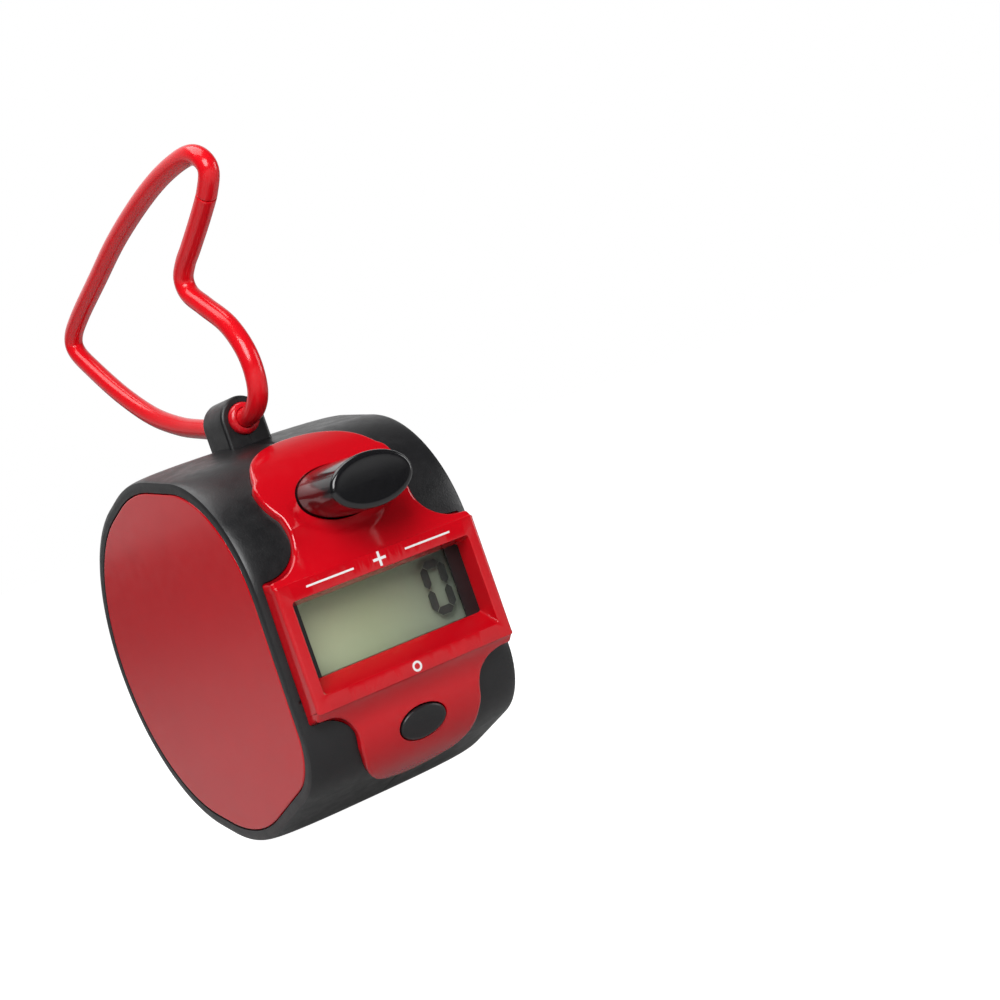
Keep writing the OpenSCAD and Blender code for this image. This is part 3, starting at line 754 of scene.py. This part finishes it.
def seat_part():
    """Solid that the fascia takes out of the shells."""
    outline = inset(fascia_outline(), -SLACK)
    edge = 0.0001
    bm = plate(outline, [], edge, FASCIA_DEPTH, bend_slices(0.6))
    return bent(bm, edge, FASCIA_DEPTH, face_grow=0.3, under_grow=SLACK)


# ---- shells ----

def shell_steps(side):
    """(x, growth) steps of half of the body, from its end recess round to its cavity."""
    steps = [(INLAY_X, -RIM), (HALF_W - 0.06, -RIM), (HALF_W, -RIM + 0.06), (HALF_W, -0.42)]
    for t in np.linspace(0, 1, 22) ** 1.6:
        x = HALF_W * (1 - t * (1 - 0.14 / HALF_W))
        steps.append((x - 0.0005, crown(x) if t else -0.12))
    steps += [(0.05, CROWN - 0.03), (0.02, CROWN - 0.14), (0.02, -WALL), (CAVITY_X, -WALL)]
    return [(side * x, grow) for x, grow in steps]


def prism_y(loop_xz, y0, y1):
    return loft([[(x, y, z) for x, z in loop_xz] for y in (y0, y1)])


def prism_x(loop_yz, x0, x1):
    return loft([[(x, y, z) for y, z in loop_yz] for x in (x0, x1)])


def rectangle(x, z0, z1):
    return [(x, z1), (-x, z1), (-x, z0), (x, z0)]


def lug_part(side):
    """Half of the eyelet lug with rounded edges, standing on the shell."""
    half, y0, y1 = LUG
    root = 21.6
    outer = [(0.02, root), (half, root), (half, 24.5)] + arc_xz((0, EYE_Z), half, 0, 89.6, 24)
    bevel = 0.45
    rings = []
    for k in range(6):
        t = math.pi / 2 * k / 5
        rings.append((y0 + bevel * (1 - math.sin(t)), bevel * (1 - math.cos(t))))
    rings += [(y0 + y1 - y, gap) for y, gap in rings[::-1]]
    rings.sort()

    def shrink(x, z, gap):
        if z <= 24.5:
            return (max(0.02, x - gap) if x > 0.1 else x, z)
        d = math.hypot(x, z - EYE_Z)
        scale = (d - gap) / d
        return (max(0.02, x * scale), EYE_Z + (z - EYE_Z) * scale)

    rings = [[(side * p[0], y, p[1]) for p in (shrink(x, z, gap) for x, z in outer)] for y, gap in rings]
    return loft(rings)


def cover_outline(grow):
    """Battery cover seen along X as a loop of (y, z), grown by grow."""
    ear = 4.2
    cy, cz = COVER_SCREW
    loop = [(29.8, 8.9), (32.4, -6.5), (cy - ear, cz)]
    loop += [(cy - ear * math.cos(t), cz - ear * math.sin(t)) for t in np.linspace(0.05, math.pi - 0.05, 24)]
    loop += [(cy + ear, cz), (cy + 8.6, -6.5), (80.0, -6.5), (80.0, 8.9)]
    clip = BELT + BELT_N * -2.6
    loop = clip_convex(loop, clip)
    return inset(fill_closed(loop, 0.4), -grow)


def clip_convex(loop, clip):
    """Part of a loop inside a convex anticlockwise loop."""
    clip = clip[::6]
    for i in range(len(clip)):
        a, b = clip[i], clip[(i + 1) % len(clip)]
        edge = b - a

        def depth(p):
            return edge[0] * (p[1] - a[1]) - edge[1] * (p[0] - a[0])

        kept = []
        for p, q in zip(loop, loop[1:] + loop[:1]):
            dp, dq = depth(p), depth(q)
            if dp >= 0:
                kept.append(p)
            if (dp >= 0) != (dq >= 0):
                t = dp / (dp - dq)
                kept.append((p[0] + (q[0] - p[0]) * t, p[1] + (q[1] - p[1]) * t))
        loop = kept
    return loop


def make_shell(name, side, seat):
    obj = raw_object(name, *belt_part(shell_steps(side)))
    posts = [turned_x(p, [(0.02 * side, 2.8), (side * (CAVITY_X + 0.3), 2.8)]) for p in SCREW_POSTS]
    ribs = []
    for z in (11.0, -12.0):
        for y in (11.0, 13.25):
            ends = sorted((side * (CAVITY_X - 1.3), side * (CAVITY_X + 0.3)))
            ribs.append(box_part((ends[0], y, z), (ends[1], y + 0.95, z + 3)))
    combine(obj, join(posts + ribs), "UNION")
    combine(obj, lug_part(side), "UNION")
    if side > 0:
        combine(obj, prism_x(cover_outline(1.2), 7.65, INLAY_X), "UNION")
    combine(obj, loft([oval(0, EYE_Z, HUB_R + SLACK, HUB_R + SLACK, y, 64) for y in (19.0, 29.0)]))
    combine(obj, seat)
    bezel = rectangle(BEZEL_X + SLACK, -BEZEL_Z - SLACK, BEZEL_Z + SLACK)
    combine(obj, prism_y(bezel, FRONT_CLEAR, BEZEL_DEPTH + 0.02))
    combine(obj, join([
        prism_y(rectangle(*LCD_POCKET), FRONT_CLEAR, 8.0),
        loft([oval(0, COUNT_Z, COUNT_KEY[0] + 0.3, COUNT_KEY[1] + 0.3, y) for y in (FRONT_CLEAR, 12.0)]),
        loft([oval(0, RESET_Z, RESET_KEY[0] + 0.3, RESET_KEY[1] + 0.3, y) for y in (FRONT_CLEAR, 9.6)])]))
    if side > 0:
        combine(obj, prism_x(cover_outline(0.12), 12.48, 16.0))
        combine(obj, turned_x(CELL, [(8.75, 6.1), (16.0, 6.1)], 96))
        screws = [turned_x(p, [(-1.0, SCREW_BORE_R), (6.0, SCREW_BORE_R)]) for p in SCREW_POSTS]
        screws.append(turned_x(COVER_SCREW, [(7.0, SCREW_BORE_R), (16.0, SCREW_BORE_R)]))
        slots = [
            box_part((7.25, 33.1, -0.9), (12.1, 34.3, 3.3)),
            box_part((7.25, 40.2, 0.4), (9.35, 40.8, 2.0))]
        combine(obj, join(screws))
        combine(obj, join(slots))
    else:
        combine(obj, join([
            turned_x(p, [(1.0, 1.2), (-5.0, 1.2), (-5.0, 2.1), (-15.0, 2.1)]) for p in SCREW_POSTS]))
    return dress(obj, "black_satin", "case", "black_satin_plastic", name.replace("_skin", ""), angle=30)


def make_side_panel():
    x0, x1 = -INLAY_X - 0.02, -HALF_W
    rings = [(x0, -RIM - 0.12), (x1 + 0.22, -RIM - 0.12)]
    rings += [(x1 + 0.22 - 0.22 * math.sin(t), -RIM - 0.12 - 0.22 * (1 - math.cos(t)))
              for t in np.linspace(0.3, math.pi / 2, 6)]
    obj = raw_object("side_panel_inlay", *belt_part(rings))
    return dress(obj, "red_gloss", "case", "red_gloss_plastic", "side_panel")


# ---- buttons ----

def oval_part(cx, cz, rx, rz, steps, count=96):
    """Oval turned part along Y; steps are (gap inside the outline, y) or (share, y, "share")."""
    rings = []
    for step in steps:
        if len(step) == 3:
            rings.append(oval(cx, cz, rx * step[0], rz * step[0], step[1], count))
        else:
            rings.append(oval(cx, cz, rx - step[0], rz - step[0], step[1], count))
    return loft(rings)


def make_count_key():
    front, rx, rz = COUNT_FRONT, COUNT_KEY[0], COUNT_KEY[1]
    steps = [(0.02, front + 0.16, "share"), (0.3, front + 0.14, "share"), (0.55, front + 0.09, "share")]
    steps += [(0.95, front + 0.03), (0.72, front + 0.005)]
    steps += [(KEY_EDGE * (1 - math.sin(t)), front + KEY_EDGE * (1 - math.cos(t)))
              for t in np.linspace(0.15, math.pi / 2, 9)]
    steps += [(0.0, 0.0), (0.0, 9.2), (0.1, 9.3), (0.8, 9.3), (0.9, 9.2)]
    steps += [(0.9, front + 1.6), (1.1, front + 1.4)]
    steps += [(1.3 / rx, front + 1.4, "share")]
    obj = raw_object("count_key_cap", *oval_part(0, COUNT_Z, rx, rz, steps))
    stem_end = 7.65
    stem = ((1.1, front + 0.8), (1.1, stem_end - 0.15), (0.95, stem_end))
    combine(obj, loft([oval(0, COUNT_Z, r, r, y, 40) for r, y in stem]), "UNION")
    tabs = []
    for side in (-1, 1):
        ends = sorted((side * (rx - 0.45), side * (rx + 0.8)))
        tabs.append(box_part((ends[0], 8.5, COUNT_Z - 1.4), (ends[1], 9.29, COUNT_Z + 0.8)))
    combine(obj, join(tabs), "UNION")
    return dress(obj, "black_gloss", "count_key", "black_gloss_plastic", "count_button", angle=35)


def front_y(z, grow):
    """Y of the body's front at height z, with the side profile grown by grow."""
    line = BELT + BELT_N * grow
    front = line[(line[:, 0] < 12)]
    order = np.argsort(front[:, 1])
    return np.interp(z, front[order][:, 1], front[order][:, 0])


def make_reset_key():
    rx, rz = RESET_KEY
    rise = FASCIA_RISE + 0.35
    drops = [(0.03, 0.0), (0.35, 0.0), (0.6, 0.01), (0.8, 0.03),
             (0.88, 0.06), (0.93, 0.12), (0.97, 0.22), (1.0, 0.42)]
    rings = []
    for share, drop in drops:
        ring = oval(0, RESET_Z, rx * share, rz * share, 0, 72)
        rings.append([(x, float(front_y(z, rise)) + drop, z) for x, _, z in ring])
    rings.append(oval(0, RESET_Z, rx, rz, 9.1, 72))
    obj = raw_object("reset_key_cap", *loft(rings))
    flange = loft([[(x, y, z) for x, z in rounded_rectangle(4.2, RESET_Z - 1.8, RESET_Z + 1.9, 0.6)]
                   for y in (8.99, 9.7)])
    combine(obj, flange, "UNION")
    combine(obj, join([box_part((-5, 8.9, RESET_Z - 3), (-3.9, 9.8, RESET_Z - 1.3)),
                       box_part((3.9, 8.9, RESET_Z - 3), (5, 9.8, RESET_Z - 1.3))]))
    combine(obj, loft([oval(0, RESET_Z, 0.9, 0.9, y, 36) for y in (9.4, 10.28)]), "UNION")
    return dress(obj, "black_satin", "reset_key", "black_satin_plastic", "reset_button", angle=35)


def make_spring():
    turns, per_turn = 7, 36
    y0, y1 = COUNT_FRONT + 1.7, 10.1
    points = []
    for i in range(turns * per_turn + 1):
        t = i / per_turn
        eased = t / turns
        points.append((1.75 * math.cos(2 * math.pi * t), y0 + 0.2 + (y1 - y0 - 0.4) * eased,
                       COUNT_Z + 1.75 * math.sin(2 * math.pi * t)))
    obj = raw_object("count_spring_coil", *tube(points, 0.2, 10))
    dress(obj, "spring_steel", "case", "nickel_steel", "count_spring", weighted=False)
    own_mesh(obj)


# ---- display ----

def pane(name, node, share, finish, slot, stands_for=True):
    """Sheet that fills a node's box in X and Z, and the given share of it in Y."""
    low, high = (np.array(c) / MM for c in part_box(node))
    y0, y1 = low[1] + (high[1] - low[1]) * share[0], low[1] + (high[1] - low[1]) * share[1]
    corner = 0.25
    loop = [(x + (low[0] + high[0]) / 2, z) for x, z in
            rounded_rectangle((high[0] - low[0]) / 2, low[2], high[2], corner, 4, 4.0)]
    obj = raw_object(name, *prism_y(loop, y0, y1))
    return dress(obj, finish, "case", slot, *([node] if stands_for else []))


def make_display():
    pane("lcd_front_glass_pane", "lcd_front_glass", (0.0, 1.0), "front_glass", "display_glass")
    pane("lcd_rear_glass_pane", "lcd_rear_glass", (0.02, 0.9), "rear_glass", "display_back")
    pane("lcd_reflector", "lcd_rear_glass", (0.92, 1.0), "reflector", "display_back", stands_for=False)


def make_marks():
    """Printed marks on the bezel: two bars and a plus above the display, a ring below it."""
    y0, y1 = -0.012, 0.0
    parts = []
    for side in (-1, 1):
        x = sorted((side * 3.5, side * 9.76))
        parts.append(box_part((x[0], y0, 6.29), (x[1], y1, 6.52)))
    obj = raw_object("ink_lines", *join(parts))
    dress(obj, "white_ink", "case", "red_gloss_plastic")
    arm, half = 0.85, 0.16
    outline = [(arm, half), (half, half), (half, arm), (-half, arm), (-half, half), (-arm, half),
               (-arm, -half), (-half, -half), (-half, -arm), (half, -arm), (half, -half), (arm, -half)]
    plus = raw_object("ink_plus", *prism_y([(x, 6.4 + z) for x, z in outline], y0, y1))
    dress(plus, "white_ink", "case", "red_gloss_plastic")
    section = ((0.62, y0), (0.36, y0), (0.36, y1), (0.62, y1), (0.62, y0))
    rings = [oval(0, -6.5, r, r, y, 48) for r, y in section]
    ring = raw_object("ink_ring", *loft(rings, caps=False))
    dress(ring, "white_ink", "case", "red_gloss_plastic")


# ---- finger loop ----

def spline(points, count, before=None, after=None):
    """Smooth line through points, which comes from before and goes on to after."""
    p = [np.array(q, float) for q in points]
    p.insert(0, 2 * p[0] - p[1] if before is None else np.array(before, float))
    p.append(2 * p[-1] - p[-2] if after is None else np.array(after, float))
    line = []
    for i in range(1, len(p) - 2):
        for t in np.linspace(0, 1, count, endpoint=False):
            a = 2 * p[i] + (p[i + 1] - p[i - 1]) * t
            b = (2 * p[i - 1] - 5 * p[i] + 4 * p[i + 1] - p[i + 2]) * t * t
            c = (3 * p[i] - p[i - 1] - 3 * p[i + 1] + p[i + 2]) * t ** 3
            line.append(0.5 * (a + b + c))
    line.append(p[-2])
    return line


def make_loop():
    out = np.array(FRONT_RUN[1]) - np.array(BACK_RUN[-2])
    out /= np.linalg.norm(out)
    seam = np.array(SEAM)
    front = spline(FRONT_RUN, 12, seam - 3 * out, BACK_RUN[0])
    back = spline(BACK_RUN, 12, FRONT_RUN[-1], seam + 3 * out)
    line = [seam + out * 0.02] + front[1:] + back[:-1] + [seam - out * 0.02]
    dense = resample(line, 0.35)
    points = [(0.0, y, z) for y, z in dense]
    obj = raw_object("finger_loop_cord", *tube(points, CORD_R, 40, 0.53, 1.55))
    dress(obj, "red_cord", "loop", "red_soft_cord", "finger_loop", weighted=False)
    y0, y1 = LUG[1] - 0.8, LUG[2] + 0.8
    bevel = HUB_R - CORD_R - 0.1
    rings = [(CORD_R + 0.06, y0 + 0.05)]
    rings += [(HUB_R - bevel * (1 - math.sin(t)), y0 + bevel * (1 - math.cos(t)))
              for t in np.linspace(0, math.pi / 2, 8)]
    rings += [(r, y0 + y1 - y) for r, y in rings[::-1]]
    rings.append(rings[0])
    hub = raw_object("loop_hub_bush", *loft([oval(0, EYE_Z, r, r, y, 64) for r, y in rings], caps=False))
    dress(hub, "red_hub", "loop", "red_soft_cord", "loop_hub")


# ---- leads ----

def make_lead(name, start, pad, finish, node):
    start, pad = np.array(start, float), np.array(pad, float)
    middle = (start + pad) / 2
    points = [start, start + (-0.6, -1.6, 0.8), (start[0] - 1.6, middle[1] + 4, middle[2] + 1.6),
              (middle[0], middle[1] - 3, middle[2] + 2.0), pad + (0, 2.4, 0.5), pad]
    obj = raw_object(name, *tube(spline(points, 10), 0.44, 16))
    slot = "red_gloss_plastic" if "red" in finish else "black_satin_plastic"
    dress(obj, finish, "case", slot, node, weighted=False)


# ---- CAD nodes that stay ----

CAD_FINISH = {
    "end_cover": ("black_satin", 0.12), "battery_cover": ("black_satin", 0.14),
    "cover_screw": ("steel", 0.06), "case_screws": ("steel", 0.06),
    "count_switch": ("steel", 0.1), "count_plunger": ("black_satin", 0.1),
    "reset_switch": ("steel", 0.1), "reset_plunger": ("black_satin", 0.1),
    "lcd_frame": ("black_satin", 0.06), "lcd_digits": ("segment", 0.0),
    "zebra_strips": ("silicone", 0.08), "main_pcb": ("board", 0.05), "chip_blob": ("resin", 0.0),
    "smd_parts": ("ceramic", 0.06), "pcb_screws": ("steel", 0.05), "battery_cell": ("cell_steel", 0.2),
    "contact_positive": ("steel", 0.05), "contact_negative": ("steel", 0.03),
    "loop_joint_plug": ("red_hub", 0.05),
}


def dress_cad_nodes():
    for name, (finish, bevel) in CAD_FINISH.items():
        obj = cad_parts[name]
        obj.data.materials.clear()
        obj.data.materials.append(FINISH[finish])
        obj.data.shade_smooth()
        obj.data.set_sharp_from_angle(angle=math.radians(30))
        weld = obj.modifiers.new("weld", "WELD")
        weld.merge_threshold = 0.0005 * MM
        flats = obj.modifiers.new("flats", "DECIMATE")
        flats.decimate_type = "DISSOLVE"
        flats.angle_limit = math.radians(0.5)
        if bevel:
            rounding = obj.modifiers.new("edges", "BEVEL")
            rounding.width = bevel * MM
            rounding.segments = 3
            rounding.limit_method = "ANGLE"
            rounding.angle_limit = math.radians(40)
            rounding.harden_normals = False
        even = obj.modifiers.new("even_normals", "WEIGHTED_NORMAL")
        even.keep_sharp = True


# ---- stage ----

def pale_floor():
    """Wide pale floor just under the object; it glows a little, so that only a faint shadow shows."""
    n = Nodes("pale_floor")
    seen = n.add("ShaderNodeLightPath")
    glow = n.add("ShaderNodeEmission", Color=(1, 1, 1, 1))
    n.link(n.span(seen.outputs["Is Camera Ray"], 0.08, 1.0, 0.0, 1.0), glow.inputs["Strength"])
    matt = n.add("ShaderNodeBsdfDiffuse")
    n.link(n.ramp(n.noise(60.0), [(0.3, (0.4, 0.4, 0.4)), (0.7, (0.43, 0.43, 0.43))]), matt.inputs["Color"])
    both = n.add("ShaderNodeAddShader")
    n.link(glow.outputs["Emission"], both.inputs[0])
    n.link(matt.outputs["BSDF"], both.inputs[1])
    n.link(both.outputs["Shader"], n.out.inputs["Surface"])
    count, reach, height = 24, 6000.0, -25.0
    grid = np.linspace(-reach, reach, count)
    verts = [(x, y, height) for x in grid for y in grid]
    faces = []
    for i in range(count - 1):
        for j in range(count - 1):
            a = i * count + j
            faces.append((a, a + count, a + count + 1, a + 1))
    obj = raw_object("floor", verts, faces)
    obj.data.materials.append(n.material)


def area_light(name, place, target, size, power):
    data = bpy.data.lights.new(name, "AREA")
    data.shape = "RECTANGLE"
    data.size, data.size_y = size[0] * MM, size[1] * MM
    data.energy = power
    obj = bpy.data.objects.new(name, data)
    scene.collection.objects.link(obj)
    obj.location = Vector(place) * MM
    aim = (Vector(target) - Vector(place)).normalized()
    obj.rotation_mode = "QUATERNION"
    obj.rotation_quaternion = aim.to_track_quat("-Z", "Y")


def make_lights():
    area_light("main_softbox", (-220, -330, 270), (0, 0, 5), (300, 300), 2.5)
    area_light("overhead_softbox", (-40, 90, 380), (0, 10, 0), (300, 300), 0.9)
    area_light("right_fill", (330, -160, 60), (0, 0, 0), (160, 200), 0.35)


def make_world():
    """White as seen; for light and reflections, bright behind and dark where the camera stands."""
    world = bpy.data.worlds.new("studio")
    world.use_nodes = True
    tree = world.node_tree
    tree.nodes.clear()
    out = tree.nodes.new("ShaderNodeOutputWorld")
    seen = tree.nodes.new("ShaderNodeBackground")
    light = tree.nodes.new("ShaderNodeBackground")
    pick = tree.nodes.new("ShaderNodeMixShader")
    path = tree.nodes.new("ShaderNodeLightPath")
    where = tree.nodes.new("ShaderNodeTexCoord")
    facing = tree.nodes.new("ShaderNodeVectorMath")
    facing.operation = "DOT_PRODUCT"
    facing.inputs[1].default_value = BRIGHT_SIDE
    ramp = tree.nodes.new("ShaderNodeValToRGB")
    set_stops(ramp, [(place, (level, level, level)) for place, level in WORLD_LEVELS])
    spread = tree.nodes.new("ShaderNodeMapRange")
    spread.inputs["From Min"].default_value = -1.0
    tree.links.new(where.outputs["Generated"], facing.inputs[0])
    tree.links.new(facing.outputs["Value"], spread.inputs["Value"])
    tree.links.new(spread.outputs["Result"], ramp.inputs["Fac"])
    tree.links.new(ramp.outputs["Color"], light.inputs["Color"])
    seen.inputs["Color"].default_value = (1, 1, 1, 1)
    tree.links.new(path.outputs["Is Camera Ray"], pick.inputs["Fac"])
    tree.links.new(light.outputs["Background"], pick.inputs[1])
    tree.links.new(seen.outputs["Background"], pick.inputs[2])
    tree.links.new(pick.outputs["Shader"], out.inputs["Surface"])
    scene.world = world


def make_camera():
    data = bpy.data.cameras.new("camera")
    data.lens = 70.0
    data.sensor_width = 36.0
    data.clip_start, data.clip_end = 0.01, 50.0
    obj = bpy.data.objects.new("camera", data)
    scene.collection.objects.link(obj)
    right = Vector((0.7928, -0.5131, -0.3288)).normalized()
    back = Vector((-0.5297, -0.847, 0.0448)).normalized()
    up = back.cross(right).normalized()
    turn = Matrix((right, up, back)).transposed()
    obj.matrix_world = Matrix.Translation(Vector((-103.29, -193.47, 17.98)) * MM) @ turn.to_4x4()
    scene.camera = obj


# ---- build ----

seat = seat_part()
make_shell("left_shell_skin", -1, seat)
make_shell("right_shell_skin", 1, seat)
make_fascia()
make_side_panel()
make_count_key()
make_reset_key()
make_spring()
make_display()
make_marks()
make_loop()
make_lead("lead_positive_wire", (6.25, 33.5, 1.2), (2.0, 13.7, 8.0), "red_hub", "lead_positive")
make_lead("lead_negative_wire", (6.25, 40.45, 1.2), (6.5, 13.7, -9.0), "black_satin", "lead_negative")
dress_cad_nodes()
pale_floor()
make_lights()
make_world()
make_camera()
scene.view_settings.view_transform = "Standard"
